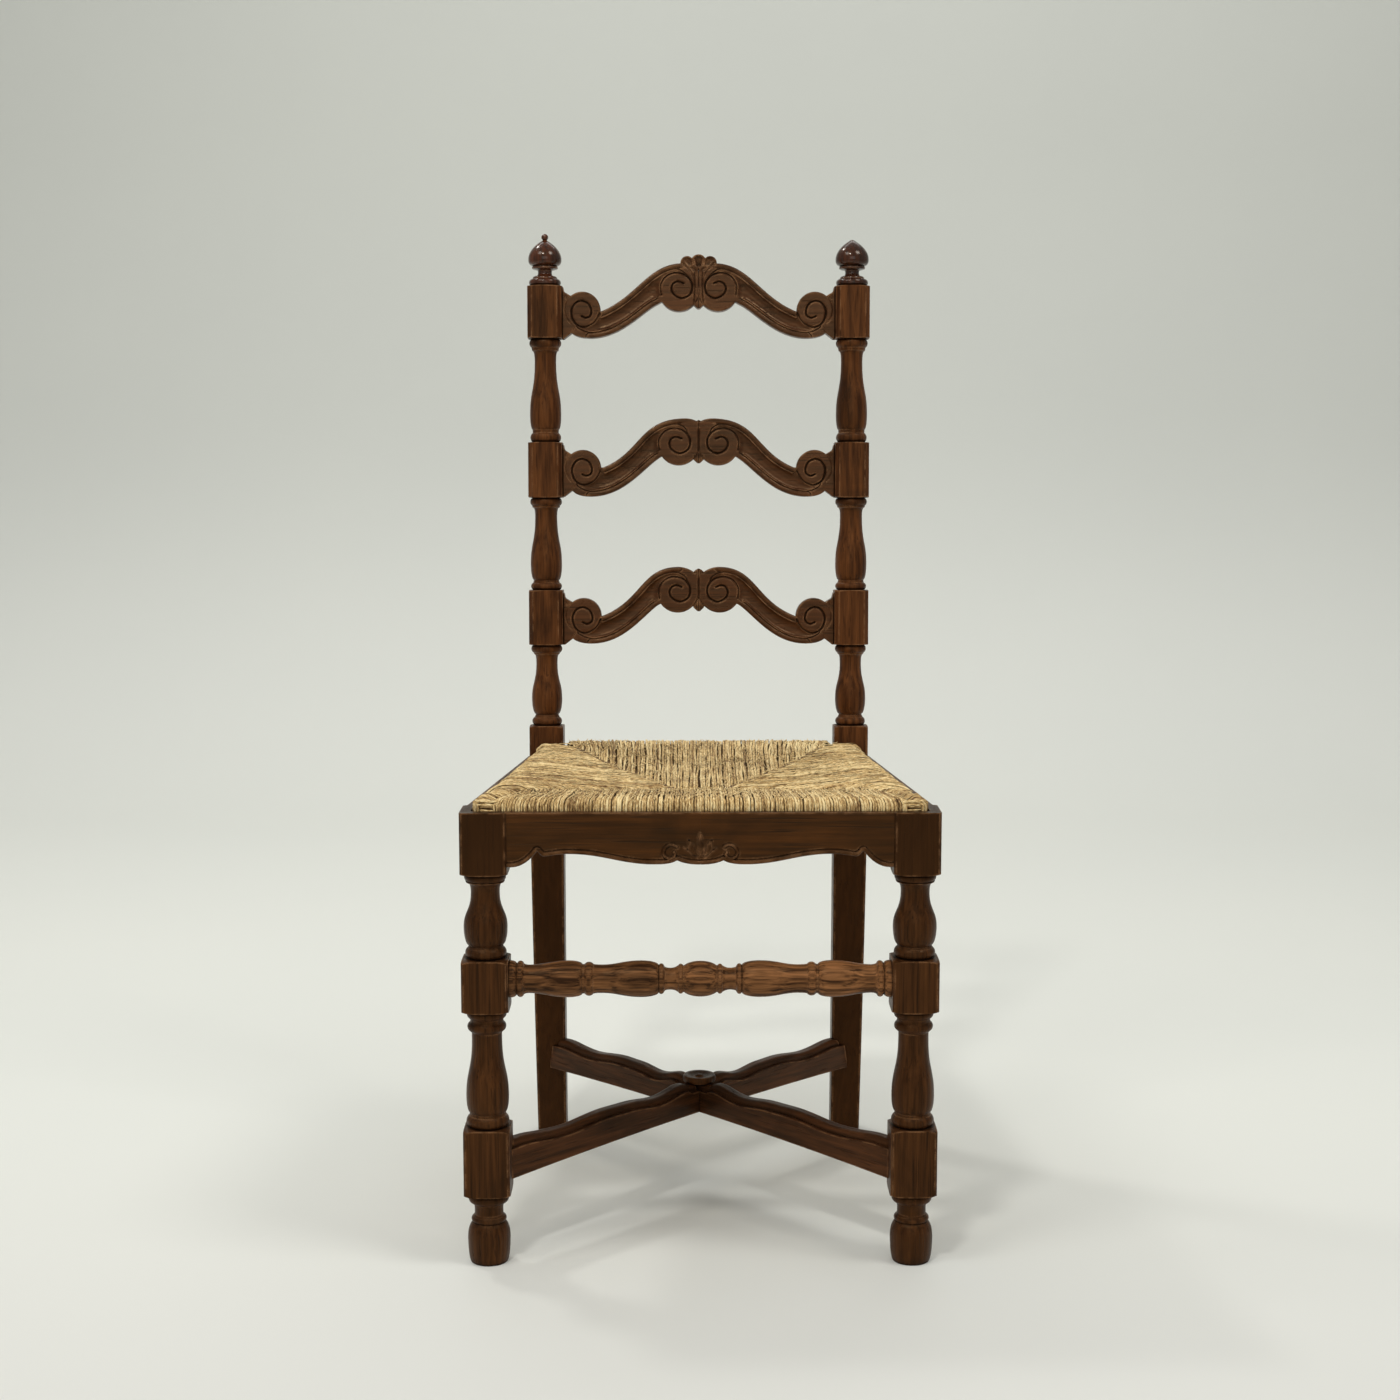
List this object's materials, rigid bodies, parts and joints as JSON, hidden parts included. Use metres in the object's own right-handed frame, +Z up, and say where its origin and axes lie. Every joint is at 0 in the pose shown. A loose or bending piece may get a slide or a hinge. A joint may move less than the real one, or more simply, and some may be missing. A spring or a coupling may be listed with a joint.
{
  "type": "ladderback chair",
  "caption": "Wooden ladderback dining chair with turned legs and posts, scrolled back slats, a crossed stretcher and a drop-in woven rush seat.",
  "frame": {"origin": "centre of the bounding box on the floor", "axes": "+Z up; the front of the chair, with the apron, faces -Y; +X to the right of someone looking at its front"},
  "size_m": [0.4598, 0.4498, 1.0237],
  "materials": {
    "oak_turned": "dark stained and waxed oak, worn paler on crests and corners",
    "oak_joined": "dark stained and waxed oak, flat sawn",
    "slat_oak": "dark reddish-brown stained oak, carved",
    "finial_polish": "very dark polished wood with sharp highlights",
    "seat_frame_wood": "plain sawn wood, unfinished",
    "rush": "hand-twisted rush, straw coloured, dry and slightly frayed"
  },
  "bodies": {
    "frame": {"back_post_left": "oak_turned", "back_post_right": "oak_turned", "finial_left": "finial_polish", "finial_right": "finial_polish", "crest_slat": "slat_oak", "middle_slat": "slat_oak", "lower_slat": "slat_oak", "front_leg_left": "oak_turned", "front_leg_right": "oak_turned", "front_apron": "oak_joined", "side_rail_left": "oak_joined", "side_rail_right": "oak_joined", "back_rail": "oak_joined", "front_stretcher": "oak_turned", "cross_stretcher_left": "oak_joined", "cross_stretcher_right": "oak_joined", "cross_button": "oak_joined"},
    "seat": {"seat_frame_front": "seat_frame_wood", "seat_frame_back": "seat_frame_wood", "seat_frame_left": "seat_frame_wood", "seat_frame_right": "seat_frame_wood", "rush_seat": "rush"}
  },
  "joints": [
    {"name": "seat_lift", "type": "slide", "parent": "frame", "child": "seat", "axis": [0, 0, 1], "range_m": [0, 0.06]}
  ]
}
